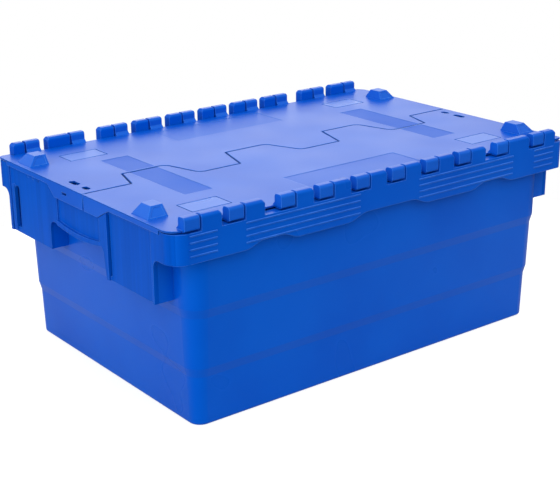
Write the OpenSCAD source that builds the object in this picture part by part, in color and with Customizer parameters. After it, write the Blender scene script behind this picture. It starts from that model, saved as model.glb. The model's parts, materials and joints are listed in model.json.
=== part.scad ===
// Stacking crate with two hinged lid halves that meet in a toothed seam.
// The origin is the centre of the base; +X runs along the long side, +Z is up, "near" is -Y.
// The crate looks nearly the same after half a turn about Z, so the far lid and rim and the
// right end are the near and left ones turned round.

/* [Overall size] */
// Length over the lid's end flanges
length = 600; // [590:1:610]
// Width over the ribs of the long skirts
width = 400; // [396:1:404]
// Height over the hinge knuckles
height = 252; // [250:0.5:254]

/* [Tub] */
// Length of the tub at its foot
foot_length = 530; // [520:1:534]
// Width of the tub at its foot
foot_width = 361; // [356:1:363]
// Plan radius of the foot's corners
foot_corner_r = 15; // [12:1:20]
// Wall thickness, also the radius of the bottom edge
wall = 3; // [2.5:0.1:3.5]
// Thickness of the floor
floor_t = 4; // [3:0.1:5]
// Bottom of the lower ledge in the walls
low_ledge_z = 59; // [50:1:65]
// Bottom of the upper ledge in the walls
high_ledge_z = 130; // [120:1:135]
// Height of a ledge's sloping face
ledge_rise = 11; // [8:1:14]
// How far each ledge steps outwards
ledge_step = 2.9; // [2:0.1:3.2]
// How far the wall leans outwards between two ledges
draft = 1.5; // [1:0.1:1.8]

/* [Rim] */
// Top of the rim
rim_z = 234.5; // [234:0.1:234.8]
// Thickness of the flange and of the long skirts
skirt_t = 3; // [2.5:0.1:3.5]
// Bottom of the skirts
skirt_z = 200.5; // [198:0.5:206]
// Plan radius of the rim's near left and far right corners
rim_corner_r = 20; // [16:1:22]
// Plan radius of the rim's other two corners
rim_tight_r = 10; // [6:1:14]
// How far the ribs stand out of the skirt
rib_depth = 0.7; // [0.4:0.1:0.8]
// Height of one rib
rib_h = 1.3; // [1:0.1:2]
// Rise of the two short arches in the skirt's lower edge
short_arch = 7; // [4:1:9]
// Rise of the long arch in the middle of the skirt's lower edge
long_arch = 8; // [4:1:10]

/* [Ends] */
// Bottom of the end panels
panel_z = 148; // [145:1:160]
// Bottom of the slot panel at the right end
right_panel_z = 157; // [145:1:160]
// Height of the lowest point of the hand grip
grip_z = 180; // [176:1:190]
// How far the grip's lower edge rises towards its ends
grip_sag = 4.5; // [0:0.5:5]
// Thickness of the lip that the fingers pull on
lip_t = 5.5; // [3:0.5:7]

/* [Lids] */
// Top face of the lids
lid_z = 238.2; // [238:0.1:238.4]
// Thickness of the lid plates
lid_t = 2; // [1.6:0.1:2.2]
// Gap between the two lids along the seam
seam_gap = 1.2; // [0.7:0.1:1.4]
// Height of the stacking lugs
lug_h = 12; // [8:1:12]
// Height of the ribs below the lids
lid_rib_h = 4; // [3:1:8]

/* [Hinges] */
// Distance of each hinge axis from the middle
hinge_y = 193.5; // [193.3:0.1:193.7]
// Height of the hinge axes
hinge_z = 244.5; // [244.3:0.1:244.8]
// Diameter of the pin moulded on each lid knuckle
pin_d = 4; // [3:0.1:5]
// Length of a pin inside the body's knuckle
pin_l = 7; // [5:0.5:8]
// Radial clearance of the pins in their bores
pin_fit = 0.05; // [0.03:0.01:0.09]
// Gap between a lid knuckle and the body knuckle that holds its pin
joint_gap = 2.4; // [1:0.1:3]
// Width of one lid knuckle
lid_knuckle_w = 19; // [17:0.5:20]
// Radius of the knuckles' upper edges
knuckle_r = 3.8; // [2:0.1:5]

/* [Hidden] */
$fn = 96;
fine = 0.01;
blue = [0.0, 0.29, 0.72];

// Tub: straight upper band above the high ledge
foot_x = foot_length / 2;
foot_y = foot_width / 2;
tub_out = 2 * (draft + ledge_step);
tub_x = foot_x + tub_out;
tub_y = foot_y + tub_out;
tub_r = foot_corner_r + tub_out;
foot_ring = 16;
foot_recess = 1.2;

// Rim: the skirt's outer face, and where the side rims end and the end pieces begin
skirt_y = width / 2 - rib_depth;
body_x = length / 2 - 1;
split_x = 280;
split_y = 160;
rib_zs = [for (i = [0:3]) skirt_z + 7.8 + 7.4 * i];
rib_groups = [[-280, -244], [-206, -46], [46, 205], [244, 280]];

// Ends: outer faces of the pieces, left end, and the step that takes the lid's flange
end_wall_t = 5;
end_top_z = 231;
flange_x = 296.2;
flange_y = 173.2;
slot_panel_x = 297;
plain_panel_x = 296;
panel_t = 3;
near_return_y = -158;
far_return_y = 174.3;
return_r = 10.5;
// Hand grip: its recess, its wall, and the opening below it
grip_y = [-48, 52];
grip_x = 295;
lip_x = 290;
cheek_y = [-64.5, -61.5];
under_grip_y = 72;
under_grip_r = 9;
cheek_front = [[-59.5, panel_z], [-55, grip_z], [-52, grip_z + grip_sag]];
// Slots in the panels, and the ridge beside the wide one
narrow_slot_y = -67.2;
narrow_slot_z = [153, 226];
wide_slot_y = [149, 158];
wide_slot_top = 209;
ridge_y = [158, 164.5];
ridge_top = 210;
// Middles of the small dents below the top edge
dent_ys = [96, 109, 122];
dent_z = [226.5, 229.3];

// Lids
lid_x = length / 2;
lid_y = 186.4;
ear_y = 194.5;
lid_corner_r = 16;
lid_tight_r = 5;
// How far the lugs' outer, near and far faces lean
lug_slope = [10, 9, 6];
// Ribs below the plate, which stop well short of its ends
lid_rib_t = 2;
long_rib_ys = [-150, -100, -50];
cross_rib_xs = [for (i = [-2:2]) 100 * i];
cross_rib_y = [-180, -34];
flange_t = 3;
flange_z = 231.7;
flange_end_y = 172.4;
tab_z = 218.7;
tab_top = [-72, 68];
tab_foot = [-47, 52];
seam_end_y = -16;
// How far each lid's edge draws back at the foot of the tab, so that it clears the other lid
tab_relief = 1.4;
// Step along the upper edge of the seam: its depth and width
seam_step = [0.8, 1];
sharp_r = 2;
round_r = 11;
// Left half of the seam, from the left end to the middle: x, y, corner radius
seam_half = [[-234.7, seam_end_y, sharp_r], [-222, 26, sharp_r],
             [-161.5, 26, round_r], [-147, -28, round_r],
             [-87.7, -28, sharp_r], [-71.7, 25, sharp_r], [-9.8, 25, round_r]];
seam = concat([[-lid_x - 20, seam_end_y, 0]], seam_half,
              [for (i = [len(seam_half) - 1:-1:0])
                  [-seam_half[i][0], -seam_half[i][1], seam_half[i][2]]],
              [[lid_x + 20, -seam_end_y, 0]]);

// Hinges: left and right ends of the near rim's knuckles; the far rim's begin a little later
joint_xs = [-263, -206.5, for (i = [0:5]) -137.5 + 53.9 * i, 197.5, 262.5];
far_joint_xs = [for (i = [0:9]) joint_xs[i] + (i == 0 ? 1 : 4)];
body_knuckle_ends = [-237.4, -181, for (i = [0:5]) -113.5 + 53.9 * i, 233.5, 281.5];
knuckle_y = [-skirt_y, -187];
knuckle_foot_r = 2.6;
knuckle_bevel = 1.2;
knuckle_slope = [2.8, 4];
gusset = 4;
bore_l = pin_l + 1.5;
// Bead round each pin that snaps into a groove in its bore, from the knuckle's end
bead_h = 0.3;
bead_x = [3, 4.5];
bead_gap = 0.4;

function arc(cx, cy, r, a0, a1, n) =
    [for (i = [0:n]) [cx + r * cos(a0 + (a1 - a0) * i / n), cy + r * sin(a0 + (a1 - a0) * i / n)]];

// Extrude a shape drawn in (x, z) along Y, or one drawn in (y, z) along X.
module along_y(y0, y1) {
    translate([0, y1, 0]) rotate([90, 0, 0]) linear_extrude(y1 - y0) children();
}
module along_x(x0, x1) {
    translate([x0, 0, 0]) rotate([90, 0, 90]) linear_extrude(x1 - x0) children();
}
module turned() {
    rotate([0, 0, 180]) children();
}
module box(a, b) {
    translate(a) cube(b - a);
}
module rounded_rect(hx, hy, r) {
    square([2 * (hx - r), 2 * hy], center = true);
    square([2 * hx, 2 * (hy - r)], center = true);
    for (sx = [-1, 1], sy = [-1, 1]) translate([sx * (hx - r), sy * (hy - r)]) circle(r);
}

// ---- Tub ----

// Offset of the outer wall from the foot's outline, with its height
wall_steps = [[0, wall], [draft, low_ledge_z], [draft + ledge_step, low_ledge_z + ledge_rise],
              [2 * draft + ledge_step, high_ledge_z], [tub_out, high_ledge_z + ledge_rise],
              [tub_out, rim_z]];
function wall_profile(r) = concat(
    arc(r - wall, wall, wall, -90, 0, 6),
    [for (s = wall_steps) if (s[0] > 0) [r + s[0], s[1]]],
    [for (i = [len(wall_steps) - 1:-1:0]) [r - wall + wall_steps[i][0], wall_steps[i][1]]]);

// Sweep the wall's profile round the foot: four straight sides and four quarter turns.
module wall_ring() {
    cx = foot_x - foot_corner_r;
    cy = foot_y - foot_corner_r;
    for (k = [0:3]) {
        side = k % 2 == 0 ? [cx, cy] : [cy, cx];
        rotate([0, 0, 90 * k]) {
            translate([0, side[1], 0]) along_x(-side[0], side[0])
                polygon(wall_profile(foot_corner_r));
            translate([side[0], side[1], 0]) rotate_extrude(angle = 90)
                polygon(wall_profile(foot_corner_r));
        }
    }
}
module tub() {
    color(blue) difference() {
        union() {
            wall_ring();
            linear_extrude(floor_t)
                rounded_rect(foot_x - wall, foot_y - wall, foot_corner_r - wall);
        }
        translate([0, 0, -fine]) linear_extrude(foot_recess + fine)
            rounded_rect(foot_x - foot_ring, foot_y - foot_ring, wall);
    }
}
// The space that the tub's upper band takes out of the pieces round it
module tub_space() {
    band_z = high_ledge_z + ledge_rise;
    translate([0, 0, band_z]) linear_extrude(rim_z - band_z) rounded_rect(tub_x, tub_y, tub_r);
}

// ---- Rims along the long sides ----

function ease(t) = 0.5 - 0.5 * cos(180 * max(0, min(1, t)));
function arch(x, centre, flat, flank, rise) = rise * ease((flat + flank - abs(x - centre)) / flank);
function skirt_edge(x) = skirt_z + arch(x, 0, 34, 30, long_arch)
    + arch(x, -170, 12, 25, short_arch) + arch(x, 170, 12, 25, short_arch);

module skirt() {
    step = 5;
    along_y(-skirt_y, -skirt_y + skirt_t) polygon(concat(
        [for (x = [-split_x:step:split_x]) [x, skirt_edge(x)]],
        [[split_x, rim_z], [-split_x, rim_z]]));
    for (z = rib_zs, g = rib_groups)
        box([g[0], -width / 2, z], [g[1], -skirt_y + fine, z + rib_h]);
}
module side_flange() {
    difference() {
        box([-split_x, -skirt_y, rim_z - skirt_t], [split_x, -split_y, rim_z]);
        tub_space();
    }
}
// Upper part of a knuckle's section, from the foot of its front to the foot of its back
function knuckle_top(front_z, back_z) = concat([[knuckle_y[0], front_z]],
    arc(knuckle_y[0] + knuckle_r, height - knuckle_r, knuckle_r, 180, 90, 8),
    arc(knuckle_y[1] - knuckle_r, height - knuckle_r, knuckle_r, 90, 0, 8),
    [[knuckle_y[1], back_z]]);

// A body knuckle, bevelled at both ends of its top
module body_knuckle(x0, x1) {
    intersection() {
        along_x(x0, x1) polygon(knuckle_top(rim_z, rim_z));
        along_y(-width, 0) polygon([[x0, rim_z], [x0, height - knuckle_bevel],
            [x0 + knuckle_bevel, height], [x1 - knuckle_slope[0], height],
            [x1, height - knuckle_slope[1]], [x1, rim_z]]);
    }
}
// Cylinder on the hinge axis from x0 to x1
module on_axis(x0, x1, r) {
    translate([x0, -hinge_y, hinge_z]) rotate([0, 90, 0]) cylinder(r = r, h = x1 - x0);
}
module bore(x) {
    r = pin_d / 2 + pin_fit;
    on_axis(x - fine, x + bore_l, r);
    on_axis(x + bead_x[0] - bead_gap, x + bead_x[1] + bead_gap, r + bead_h);
}
module rim(joints) {
    color(blue) difference() {
        union() {
            skirt();
            side_flange();
            for (i = [0:len(joints) - 1]) body_knuckle(joints[i], body_knuckle_ends[i]);
        }
        for (x = joints) bore(x);
    }
}
module rim_near() rim(joint_xs);
module rim_far() turned() rim(far_joint_xs);

// ---- Ends ----

// Outline of the left end, drawn in by a margin
module end_outline(x_margin, y_margin) {
    x = body_x - x_margin;
    y = skirt_y - y_margin;
    near_r = rim_corner_r - y_margin;
    far_r = rim_tight_r - y_margin;
    polygon(concat(arc(near_r - x, near_r - y, near_r, 270, 180, 16),
        arc(far_r - x, y - far_r, far_r, 180, 90, 12), [[0, y], [0, -y]]));
}
// Rim at the left end: corner posts, top flange and the strip behind the lid's flange
module end_rim() {
    difference() {
        union() {
            translate([0, 0, skirt_z]) linear_extrude(rim_z - skirt_z) difference() {
                end_outline(0, 0);
                end_outline(end_wall_t, skirt_t);
            }
            translate([0, 0, rim_z - skirt_t]) linear_extrude(skirt_t) end_outline(0, 0);
        }
        box([-split_x, -width, 0], [length, -split_y, height]);
        box([-split_x, split_y, 0], [length, width, height]);
        // Everything between the two return walls is made by the panels and the grip.
        box([-length, near_return_y + fine, 0],
            [-flange_x + panel_t, far_return_y - fine, rim_z - skirt_t]);
        // Step for the lid's flange
        box([-length, -flange_y, end_top_z], [-flange_x, flange_y, height]);
    }
    box([-flange_x, near_return_y, end_top_z - skirt_t],
        [-flange_x + panel_t, far_return_y, rim_z]);
}
// Hollow corner between a post's lower edge and a return wall; side is 1 at the far one
module return_corner(y, side) {
    centre = [y + side * return_r, skirt_z - return_r];
    along_x(-body_x, -body_x + end_wall_t) polygon(concat(
        [[y - side * fine, skirt_z + fine]], [[centre[0], skirt_z + fine]],
        arc(centre[0], centre[1], return_r, 90, side > 0 ? 180 : 0, 12),
        [[y - side * fine, centre[1]]]));
}
module plain_panel() {
    difference() {
        box([-plain_panel_x, near_return_y, panel_z],
            [-plain_panel_x + panel_t, cheek_y[1], end_top_z]);
        box([-length, narrow_slot_y, narrow_slot_z[0]], [0, cheek_y[0], narrow_slot_z[1]]);
    }
    box([-body_x, near_return_y, panel_z], [-tub_x + wall, near_return_y + panel_t, end_top_z]);
    return_corner(near_return_y, -1);
}
// Wall on the near side of the grip, and its face, which narrows downwards
module cheek() {
    box([-body_x, cheek_y[0], panel_z], [-tub_x + wall, cheek_y[1], end_top_z]);
    along_x(-body_x, -body_x + panel_t) polygon(concat([[cheek_y[0], panel_z]], cheek_front,
        [[grip_y[0], grip_z + grip_sag], [grip_y[0], end_top_z], [cheek_y[0], end_top_z]]));
}
// An upright strip in (y, z) with a round top
function upright(ys, z0, z1) = let (r = (ys[1] - ys[0]) / 2)
    concat([[ys[0], z0]], arc(ys[0] + r, z1 - r, r, 180, 0, 10), [[ys[1], z0]]);

module slot_panel(z0) {
    corner = [under_grip_y - under_grip_r, grip_z + grip_sag - under_grip_r];
    difference() {
        along_x(-slot_panel_x, -slot_panel_x + panel_t) polygon(concat(
            [[far_return_y, z0], [far_return_y, end_top_z], [grip_y[1], end_top_z],
             [grip_y[1], grip_z + grip_sag]],
            arc(corner[0], corner[1], under_grip_r, 90, 0, 10), [[under_grip_y, z0]]));
        along_x(-length, 0) polygon(upright(wide_slot_y, z0 + 7, wide_slot_top));
        for (y = dent_ys)
            box([-length, y - 2, dent_z[0]], [-slot_panel_x + 0.8, y + 2, dent_z[1]]);
    }
    box([-slot_panel_x, under_grip_y, z0], [-tub_x + wall, under_grip_y + panel_t, end_top_z]);
    // Return wall and the raised strip along it
    box([-body_x, far_return_y - panel_t, z0], [-tub_x + tub_r, far_return_y, end_top_z]);
    box([-body_x, far_return_y - 5, z0], [-body_x + panel_t, far_return_y, end_top_z]);
    return_corner(far_return_y, 1);
    // Ridge beside the slot
    along_x(-body_x, -body_x + panel_t) polygon(upright(ridge_y, z0 + 4, ridge_top));
}
// Height of the grip's lower edge: lowest in the middle of its length
function grip_edge(y) = let (m = (grip_y[0] + grip_y[1]) / 2, h = (grip_y[1] - grip_y[0]) / 2)
    grip_z + grip_sag * pow((y - m) / h, 2);

module grip() {
    n = 24;
    steps = [for (i = [0:n]) grip_y[0] + (grip_y[1] - grip_y[0]) * i / n];
    lip = concat([for (y = steps) [y, grip_edge(y)]],
                 [for (i = [n:-1:0]) [steps[i], grip_edge(steps[i]) + lip_t]]);
    along_x(-body_x, -lip_x) polygon(lip);
    // Wall above the lip, let into its top
    along_x(-grip_x, -grip_x + panel_t) polygon(concat(
        [for (y = steps) [y, grip_edge(y) + lip_t / 2]],
        [[grip_y[1], end_top_z], [grip_y[0], end_top_z]]));
    // Sides of the recess
    for (y = [grip_y[0] - panel_t, grip_y[1]])
        box([-body_x + 2, y, grip_z + grip_sag], [-grip_x + panel_t, y + panel_t, end_top_z]);
}
// Outline of the lid's tab, in (y, z), grown by a margin
module tab_outline(margin) {
    polygon([[tab_top[0] - margin, flange_z + margin], [tab_foot[0] - margin, tab_z - margin],
             [tab_foot[1] + margin, tab_z - margin], [tab_top[1] + margin, flange_z + margin]]);
}
module end(slot_panel_z) {
    color(blue) difference() {
        union() {
            end_rim();
            plain_panel();
            cheek();
            slot_panel(slot_panel_z);
            grip();
        }
        tub_space();
        along_x(-length, -flange_x - 0.3) tab_outline(0.8);
        // Hole for the seals in the lids
        box([-288.8, -6, rim_z - skirt_t - fine], [-280, 39, height]);
    }
}
module end_left() end(panel_z);
module end_right() turned() end(right_panel_z);

// ---- Lids ----

// The seam moved sideways by d, with its corners rounded
function direction(a, b) = [b[0] - a[0], b[1] - a[1]] / norm([b[0] - a[0], b[1] - a[1]]);
function side(u) = [-u[1], u[0]];
function seam_corner(i, d) =
    let (u = direction(seam[i - 1], seam[i]), v = direction(seam[i], seam[i + 1]),
         turn = u[0] * v[1] - u[1] * v[0], half = atan2(turn, u * v) / 2,
         p = [seam[i][0], seam[i][1]] + d * (side(u) + side(v)) / (1 + u * v),
         r = seam[i][2] - d * sign(turn) + seam_gap / 2, back = abs(r * tan(half)),
         a = p - back * u, c = a + r * sign(turn) * side(u),
         a0 = atan2(a[1] - c[1], a[0] - c[0]))
    arc(c[0], c[1], r, a0, a0 + 2 * half, 8);
function seam_line(d) = concat(
    [[seam[0][0], seam[0][1] + d]],
    [for (i = [1:len(seam) - 2]) each seam_corner(i, d)],
    [[seam[len(seam) - 1][0], seam[len(seam) - 1][1] + d]]);

// Outline of the near half: an ear in front of the hinge line at each corner
module near_outline() {
    polygon(concat(
        arc(lid_corner_r - lid_x, lid_corner_r - ear_y, lid_corner_r, 180, 270, 16),
        [[joint_xs[0] - joint_gap, -ear_y], [joint_xs[0] - joint_gap, -lid_y],
         [lid_x - lid_corner_r, -lid_y], [lid_x - lid_corner_r, -ear_y]],
        arc(lid_x - lid_tight_r, lid_tight_r - ear_y, lid_tight_r, 270, 360, 10),
        [[lid_x, lid_y], [-lid_x, lid_y]]));
}
// A layer of the plate from z0 to z1, its seam edge drawn back from the middle of the seam
module lid_layer(z0, z1, back) {
    translate([0, 0, z0]) linear_extrude(z1 - z0) intersection() {
        near_outline();
        polygon(concat(seam_line(-back), [[lid_x + 20, -width], [-lid_x - 20, -width]]));
    }
}
module lid_plate() {
    step_z = lid_z - seam_step[0];
    lid_layer(lid_z - lid_t, step_z, seam_gap / 2);
    lid_layer(step_z - fine, lid_z, seam_gap / 2 + seam_step[1]);
}
// The near lid's share of the flange and tab at the left end; with side -1, the far lid's
module end_flange(side) {
    seam_y = seam_end_y - side * seam_gap / 2;
    foot_y = seam_y - side * tab_relief;
    intersection() {
        along_x(-lid_x, -lid_x + flange_t) union() {
            polygon([[-flange_end_y, flange_z], [flange_end_y, flange_z],
                     [flange_end_y, lid_z], [-flange_end_y, lid_z]]);
            polygon([[tab_top[0], flange_z + 1], [tab_top[0], flange_z], [tab_foot[0], tab_z],
                     [tab_foot[1], tab_z], [tab_top[1], flange_z], [tab_top[1], flange_z + 1]]);
        }
        along_x(-length, 0) polygon([[-side * width, tab_z], [foot_y, tab_z], [seam_y, flange_z],
                                     [seam_y, height], [-side * width, height]]);
    }
}
// A lid knuckle with the pin on its right end; a gusset joins its back to the plate.
module lid_knuckle(x) {
    z0 = lid_z - lid_t;
    right = x - joint_gap;
    along_x(right - lid_knuckle_w, right) polygon(concat(
        [[knuckle_y[1] + gusset, z0]],
        arc(knuckle_y[0] + knuckle_foot_r, z0 + knuckle_foot_r, knuckle_foot_r, 270, 180, 6),
        knuckle_top(lid_z + 1, lid_z + gusset),
        [[knuckle_y[1] + gusset, lid_z]]));
    on_axis(right - 1, x + pin_l, pin_d / 2);
    on_axis(x + bead_x[0], x + bead_x[1], pin_d / 2 + bead_h);
}
// Shallow panel let into a lug's face, which leans by lean from y at its foot
module lug_panel(x0, x1, y, lean) {
    margin = 3;
    depth = 0.6 * sign(lean);
    top = lid_z + lug_h;
    intersection() {
        along_y(-width, width) polygon([[x0 + margin + 1.5, lid_z + 1.5],
            [x1 - margin, lid_z + 1.5], [x1 - margin - 1, top - 1.8],
            [x0 + lug_slope[0] + margin - 1, top - 1.8]]);
        along_x(x0, x1) polygon([[y - depth, lid_z], [y + depth, lid_z],
            [y + lean + depth, top], [y + lean - depth, top]]);
    }
}
// Stacking lug: an upright inner side, the other three sides sloping
module lug(x0, x1, y0, y1) {
    difference() {
        intersection() {
            along_y(y0, y1) polygon([[x0, lid_z - fine], [x1, lid_z - fine],
                [x1 - 1.5, lid_z + lug_h], [x0 + lug_slope[0], lid_z + lug_h]]);
            along_x(x0, x1) polygon([[y0, lid_z - fine], [y1, lid_z - fine],
                [y1 - lug_slope[2], lid_z + lug_h], [y0 + lug_slope[1], lid_z + lug_h]]);
        }
        lug_panel(x0, x1, y0, lug_slope[1]);
        lug_panel(x0, x1, y1, -lug_slope[2]);
    }
}
module lid_ribs() {
    z = lid_z - lid_t;
    h = lid_rib_t / 2;
    for (y = long_rib_ys)
        box([cross_rib_xs[0] - h, y - h, z - lid_rib_h], [h - cross_rib_xs[0], y + h, z + fine]);
    for (x = cross_rib_xs)
        box([x - h, cross_rib_y[0], z - lid_rib_h], [x + h, cross_rib_y[1], z + fine]);
}
// Label field: a thin groove round a plain rectangle
module label_groove(x0, y0, w, d) {
    groove = 1.4;
    translate([x0, y0, lid_z - 0.8]) linear_extrude(1) difference() {
        square([w, d]);
        translate([groove, groove]) square([w - 2 * groove, d - 2 * groove]);
    }
}
module slot_hole(x, y, w, d, z0) {
    translate([x, y, z0]) linear_extrude(height) {
        square([w, d - w], center = true);
        for (s = [-1, 1]) translate([0, s * (d - w) / 2]) circle(d = w);
    }
}
module lid(joints) {
    recess_z = lid_z - 0.3;
    color(blue) difference() {
        union() {
            lid_plate();
            end_flange(1);
            turned() end_flange(-1);
            for (x = joints) lid_knuckle(x);
            lug(-295, -268.5, -145, -112);
            mirror([1, 0, 0]) lug(-295, -268.5, -153, -119);
            lid_ribs();
        }
        label_groove(-241.8, -150.5, 53.4, 32);
        label_groove(188.4, -146.1, 53.4, 32);
        // Fields pressed into the top
        box([-86, -168, recess_z], [86, -110, height]);
        box([-212, -92, recess_z], [-174, 40, height]);
        box([174, -92, recess_z], [212, -30, height]);
        // Holes for seals, in the plate and in the tab
        slot_hole(284.5, -29, 8, 19, 0);
        slot_hole(284.5, -2, 7.5, 13, 0);
        box([290, -33, 226.5], [length, -22, 229.5]);
    }
}
module lid_near() lid(joint_xs);
module lid_far() turned() lid(far_joint_xs);

tub();
rim_near();
rim_far();
end_left();
end_right();
lid_near();
lid_far();
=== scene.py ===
"""Looks, light and camera for the stacking crate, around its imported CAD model."""

import json
import math

import bpy
from mathutils import Matrix, Vector


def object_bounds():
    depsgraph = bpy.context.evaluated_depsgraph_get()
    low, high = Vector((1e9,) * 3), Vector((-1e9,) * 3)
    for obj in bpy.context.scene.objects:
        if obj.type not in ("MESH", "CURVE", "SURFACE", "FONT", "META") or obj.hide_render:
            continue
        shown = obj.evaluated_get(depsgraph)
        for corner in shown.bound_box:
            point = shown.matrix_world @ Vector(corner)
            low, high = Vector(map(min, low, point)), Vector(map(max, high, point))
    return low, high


# Camera: metres, degrees, and lengths as shares of the picture's width
CAMERA_AT = Vector((-0.9562, -1.2195, 0.6507))
CAMERA_AZIMUTH = -35.99
CAMERA_ELEVATION = 19.645
CAMERA_ROLL = -1.162
FOCAL_LENGTH = 2.2546
CENTRE_SHIFT = 0.0714
SENSOR = 36.0

# Studio: brightness of the surroundings, as lobes added to a dim base: direction, strength,
# and the cosines between which each lobe rises
DIM = 0.12
LOBES = (
    ((-0.15, 0.10, 1.00), 0.36, 0.2, 0.9),
    ((0.36, 0.86, 0.34), 1.58, 0.70, 0.97),
    ((-0.92, -0.20, 0.25), 1.50, 0.35, 0.95),
    ((0.20, -0.62, 0.76), 1.06, 0.50, 0.95),
)
BACKDROP = 1.0

# Floor: half sizes in metres, how much light it throws back, and the glow that only the camera
# sees, which keeps it white
FLOOR_HALF = (0.68, 0.60)
FLOOR_WHITE = 0.52
FLOOR_ROUGHNESS = 0.8
FLOOR_GLOW = 0.66

# Plastic in linear light: two blues that the moulding's flow marks go between, the blue of worn edges
# with painted highlights and of the painted sheen on pale places, the blue of painted shade, and the
# colour of its gloss
BLUE = (0.0, 0.085, 0.56, 1)
PALE_BLUE = (0.0, 0.098, 0.60, 1)
WORN_AND_HIGHLIT_BLUE = (0.08, 0.27, 0.85, 1)
PAINTED_SHADE_BLUE = (0.0, 0.02, 0.16, 1)
TINT = (0.05, 0.40, 1.0, 1)
PLASTIC_IOR = 1.5

# Scales of the noises, which grow finer as they rise, and how far the roughness varies
FLOW_SCALE = 9
SMUDGE_SCALE = 12
SMUDGE_SPREAD = 0.03
WEAR_AND_HIGHLIGHT_SCALE = 55
STREAK_SCALE = 160
GRAIN_SCALE = 1400
GRAIN_HEIGHT = 0.00003

# Edges, in metres: their rounding, and their paling, partly wear and partly a painted highlight,
# between two cosines of their turn
EDGE_RADIUS = 0.0010
EDGE_SAMPLES = 8
WEAR_AND_HIGHLIGHT_COSINES = (0.99, 0.80)
MOST_WEAR_AND_HIGHLIGHT = 0.95

# Planes between the end pieces and the side rims, which are one moulding: no edge shows there
SPLIT_X = 0.280
SPLIT_REACH = 0.0016

# Outer faces of the end panels: where they begin in X, their upright streaks of painted shade, and
# their gloss
PANEL_X = 0.293
STREAK_STRETCH = (1, 1, 0.03)
STREAK_SHADES = (0.12, 0.28)
PANEL_ROUGHER = 0.12
BODY_GLOSS = 0.4
PANEL_GLOSS = 0.08

# Lid, in metres: heights of the pressed-in fields and of the grooves' floor, the height that only
# the lugs and knuckles pass, how far out in Y the lugs lie, and the label fields' boxes in plan
PRESSED_Z = 0.2379
PRESSED_REACH = 0.0001
GROOVE_Z = 0.2374
GROOVE_REACH = 0.0003
RAISED_Z = 0.2392
LUG_Y = 0.16
MIDDLE_X = 0.1
LABELS = ((-0.2409, -0.1496, -0.1893, -0.1194), (0.1893, -0.1452, 0.2409, -0.1150),
          (0.1893, 0.1194, 0.2409, 0.1496), (-0.2409, 0.1150, -0.1893, 0.1452))

# How far each place on a lid goes towards its colour, plain blue for pressed fields, painted shade for
# grooves, a painted sheen for knuckles, lugs and labels, and how much rougher it is
PRESSED_SHADE = 0.5
MIDDLE_SHARE = 0.4
GROOVE_SHADE = 0.7
KNUCKLE_SHEEN = 0.07
LUG_SHEEN = 0.16
LABEL_SHEEN = 0.2
PRESSED_ROUGHER = 0.16
GROOVE_ROUGHER = 0.4
LABEL_SMOOTHER = 0.05


class Nodes:
    """Adds nodes to a material and wires them up."""

    def __init__(self, material):
        material.use_nodes = True
        self.tree = material.node_tree
        self.shader = self.tree.nodes["Principled BSDF"]

    def add(self, kind, inputs=None, **settings):
        node = self.tree.nodes.new(kind)
        for name, value in settings.items():
            setattr(node, name, value)
        for name, value in (inputs or {}).items():
            self.set(node, name, value)
        return node

    def set(self, node, name, value):
        if isinstance(value, bpy.types.NodeSocket):
            self.tree.links.new(value, node.inputs[name])
        else:
            node.inputs[name].default_value = value

    def noise(self, where, scale, detail=2.0, roughness=0.5):
        return self.add("ShaderNodeTexNoise", {
            "Vector": where, "Scale": scale, "Detail": detail, "Roughness": roughness}).outputs["Fac"]

    def remap(self, value, low, high, to_low, to_high):
        return self.add("ShaderNodeMapRange", {
            "Value": value, "From Min": low, "From Max": high, "To Min": to_low, "To Max": to_high,
        }).outputs["Result"]

    def math(self, operation, a, b=0.0):
        return self.add("ShaderNodeMath", {0: a, 1: b}, operation=operation).outputs[0]

    def near(self, value, centre, reach):
        """1 where the value is within reach of the centre, and 0 elsewhere."""
        compare = self.math("COMPARE", value, centre)
        compare.node.inputs[2].default_value = reach
        return compare

    def mix(self, share, a, b):
        node = self.add("ShaderNodeMix", {0: share}, data_type="RGBA")
        self.set(node, 6, a)
        self.set(node, 7, b)
        return node.outputs[2]

    def place(self):
        return self.add("ShaderNodeTexCoord").outputs["Object"]


def make_camera():
    azimuth, elevation = math.radians(CAMERA_AZIMUTH), math.radians(CAMERA_ELEVATION)
    back = Vector((
        math.sin(azimuth) * math.cos(elevation),
        -math.cos(azimuth) * math.cos(elevation),
        math.sin(elevation),
    ))
    right = Vector((math.cos(azimuth), math.sin(azimuth), 0))
    up = back.cross(right)
    turn = Matrix((right, up, back)).transposed() @ Matrix.Rotation(math.radians(CAMERA_ROLL), 3, "Z")
    data = bpy.data.cameras.new("camera")
    data.sensor_width = SENSOR
    data.lens = FOCAL_LENGTH * SENSOR
    data.shift_x = CENTRE_SHIFT
    data.clip_end = 50
    camera = bpy.data.objects.new("camera", data)
    camera.matrix_world = Matrix.Translation(CAMERA_AT) @ turn.to_4x4()
    bpy.context.scene.collection.objects.link(camera)
    bpy.context.scene.camera = camera


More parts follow.
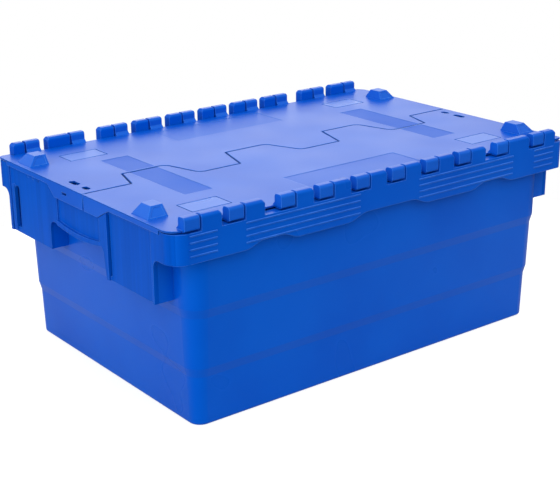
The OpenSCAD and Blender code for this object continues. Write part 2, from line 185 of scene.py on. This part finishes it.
def make_studio():
    world = bpy.data.worlds.new("studio")
    world.use_nodes = True
    tree = world.node_tree
    add, link = tree.nodes.new, tree.links.new
    where = add("ShaderNodeTexCoord")
    total = None
    for direction, strength, low, high in LOBES:
        facing = add("ShaderNodeVectorMath")
        facing.operation = "DOT_PRODUCT"
        facing.inputs[1].default_value = Vector(direction).normalized()
        link(where.outputs["Generated"], facing.inputs[0])
        lobe = add("ShaderNodeMapRange")
        lobe.interpolation_type = "SMOOTHSTEP"
        for name, value in (("From Min", low), ("From Max", high), ("To Min", 0), ("To Max", strength)):
            lobe.inputs[name].default_value = value
        link(facing.outputs["Value"], lobe.inputs["Value"])
        plus = add("ShaderNodeMath")
        plus.inputs[1].default_value = DIM
        if total:
            link(total, plus.inputs[1])
        link(lobe.outputs["Result"], plus.inputs[0])
        total = plus.outputs[0]
    seen = add("ShaderNodeLightPath")
    choose = add("ShaderNodeMix")
    link(seen.outputs["Is Camera Ray"], choose.inputs[0])
    link(total, choose.inputs[2])
    choose.inputs[3].default_value = BACKDROP
    link(choose.outputs[0], tree.nodes["Background"].inputs["Strength"])
    tree.nodes["Background"].inputs["Color"].default_value = (1, 1, 1, 1)
    bpy.context.scene.world = world
    bpy.context.scene.view_settings.view_transform = "Standard"


def make_floor(lowest):
    mesh = bpy.data.meshes.new("floor")
    x, y = FLOOR_HALF
    corners = [(-x, -y, lowest), (x, -y, lowest), (x, y, lowest), (-x, y, lowest)]
    mesh.from_pydata(corners, [], [(0, 1, 2, 3)])
    floor = bpy.data.objects.new("floor", mesh)
    bpy.context.scene.collection.objects.link(floor)
    material = bpy.data.materials.new("floor_white")
    n = Nodes(material)
    n.set(n.shader, "Base Color", (FLOOR_WHITE, FLOOR_WHITE, FLOOR_WHITE, 1))
    n.set(n.shader, "Roughness", FLOOR_ROUGHNESS)
    n.set(n.shader, "Emission Color", (1, 1, 1, 1))
    seen = n.add("ShaderNodeLightPath").outputs["Is Camera Ray"]
    n.set(n.shader, "Emission Strength", n.math("MULTIPLY", seen, FLOOR_GLOW))
    mesh.materials.append(material)


def plastic(name, roughness, grain_strength):
    material = bpy.data.materials.new(name)
    n = Nodes(material)
    place = n.place()
    at = n.add("ShaderNodeSeparateXYZ", {0: place}).outputs
    across = n.math("ABSOLUTE", at[0])
    rounded = n.add("ShaderNodeBevel", {"Radius": EDGE_RADIUS}, samples=EDGE_SAMPLES).outputs[0]
    flat = n.add("ShaderNodeNewGeometry").outputs["Normal"]
    split = n.near(across, SPLIT_X, SPLIT_REACH)
    edge = n.add("ShaderNodeMix", {0: split, 4: rounded, 5: flat}, data_type="VECTOR").outputs[1]
    turn = n.add("ShaderNodeVectorMath", {0: edge, 1: flat}, operation="DOT_PRODUCT").outputs["Value"]
    patchy = n.remap(n.noise(place, WEAR_AND_HIGHLIGHT_SCALE, 3), 0.35, 0.6, 0.45, 1)
    # Painted highlight: edges turn towards the pale blue, partly real wear and partly a painted
    # highlight on their rounding
    worn_and_highlit = n.math("MULTIPLY", n.remap(turn, *WEAR_AND_HIGHLIGHT_COSINES, 0, MOST_WEAR_AND_HIGHLIGHT), patchy)
    flow = n.remap(n.noise(place, FLOW_SCALE, 3), 0.35, 0.65, 0, 1)
    colour = n.mix(worn_and_highlit, n.mix(flow, BLUE, PALE_BLUE), WORN_AND_HIGHLIT_BLUE)
    rough = n.remap(n.noise(place, SMUDGE_SCALE, 1), 0.3, 0.7,
                    roughness - SMUDGE_SPREAD, roughness + SMUDGE_SPREAD)
    if name == "lid_plastic":
        colour, rough = fields(n, at, colour, rough)
    else:
        colour, rough = end_panels(n, place, across, colour, rough)
    n.set(n.shader, "Base Color", colour)
    n.set(n.shader, "Roughness", rough)
    grain = n.noise(place, GRAIN_SCALE, 2, 0.6)
    bump = n.add("ShaderNodeBump", {
        "Strength": grain_strength, "Distance": GRAIN_HEIGHT, "Height": grain, "Normal": edge})
    n.set(n.shader, "Normal", bump.outputs[0])
    n.set(n.shader, "IOR", PLASTIC_IOR)
    n.set(n.shader, "Specular Tint", TINT)
    return material


def end_panels(n, place, across, colour, rough):
    """Matt outer faces of the end panels, darkened in faint upright streaks of painted shade."""
    end = n.math("GREATER_THAN", across, PANEL_X)
    stretched = n.add("ShaderNodeVectorMath", {0: place, 1: STREAK_STRETCH}, operation="MULTIPLY")
    streaks = n.remap(n.noise(stretched.outputs[0], STREAK_SCALE, 2), 0.35, 0.65, *STREAK_SHADES)
    # Painted shade: the end panels' outer faces are darkened in upright streaks
    colour = n.mix(n.math("MULTIPLY", end, streaks), colour, PAINTED_SHADE_BLUE)
    rough = n.math("ADD", rough, n.math("MULTIPLY", end, PANEL_ROUGHER))
    n.set(n.shader, "Specular IOR Level", n.remap(end, 0, 1, BODY_GLOSS, PANEL_GLOSS))
    return colour, rough


def fields(n, at, colour, rough):
    """Matt pressed-in fields, grooves darkened with painted shade, and labels, lugs and knuckles paled
    with a painted sheen on a lid's top.
    """
    label = 0.0
    for x0, y0, x1, y1 in LABELS:
        in_x = n.near(at[0], (x0 + x1) / 2, (x1 - x0) / 2)
        in_y = n.near(at[1], (y0 + y1) / 2, (y1 - y0) / 2)
        label = n.math("ADD", label, n.math("MULTIPLY", in_x, in_y))
    label = n.math("MULTIPLY", label, n.math("GREATER_THAN", at[2], PRESSED_Z))
    middle = n.math("LESS_THAN", n.math("ABSOLUTE", at[0]), MIDDLE_X)
    pressed = n.math("MULTIPLY", n.near(at[2], PRESSED_Z, PRESSED_REACH),
                     n.remap(middle, 0, 1, 1, MIDDLE_SHARE))
    groove = n.near(at[2], GROOVE_Z, GROOVE_REACH)
    raised = n.math("GREATER_THAN", at[2], RAISED_Z)
    inner = n.math("LESS_THAN", n.math("ABSOLUTE", at[1]), LUG_Y)
    # Painted sheen: lugs and knuckles are made paler, a painted reflection of the bright studio
    painted_sheen = n.math("MULTIPLY", raised, n.remap(inner, 0, 1, KNUCKLE_SHEEN, LUG_SHEEN))
    colour = n.mix(n.math("MULTIPLY", pressed, PRESSED_SHADE), colour, BLUE)
    # Painted shade: the grooves are darkened towards the dark blue
    colour = n.mix(n.math("MULTIPLY", groove, GROOVE_SHADE), colour, PAINTED_SHADE_BLUE)
    colour = n.mix(painted_sheen, colour, WORN_AND_HIGHLIT_BLUE)
    # Painted sheen: the label fields are made paler
    colour = n.mix(n.math("MULTIPLY", label, LABEL_SHEEN), colour, WORN_AND_HIGHLIT_BLUE)
    rough = n.math("ADD", rough, n.math("MULTIPLY", pressed, PRESSED_ROUGHER))
    rough = n.math("ADD", rough, n.math("MULTIPLY", groove, GROOVE_ROUGHER))
    return colour, n.math("SUBTRACT", rough, n.math("MULTIPLY", label, LABEL_SMOOTHER))


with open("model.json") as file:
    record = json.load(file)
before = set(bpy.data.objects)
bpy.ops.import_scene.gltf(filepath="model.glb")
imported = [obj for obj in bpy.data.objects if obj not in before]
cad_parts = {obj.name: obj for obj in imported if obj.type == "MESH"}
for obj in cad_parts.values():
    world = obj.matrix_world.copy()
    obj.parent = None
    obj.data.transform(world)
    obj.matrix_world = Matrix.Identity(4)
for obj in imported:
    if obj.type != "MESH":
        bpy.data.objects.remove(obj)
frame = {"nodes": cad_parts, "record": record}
cad_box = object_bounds()
# Each finish's roughness and strength of grain
finishes = {
    "body_plastic": plastic("body_plastic", 0.30, 0.1),
    "lid_plastic": plastic("lid_plastic", 0.34, 0.4),
}
for subpart in frame["record"]["subparts"]:
    node = frame["nodes"][subpart["node"]]
    node.data.materials.clear()
    node.data.materials.append(finishes[subpart["material_slot"]])
make_camera()
make_studio()
make_floor(cad_box[0].z)
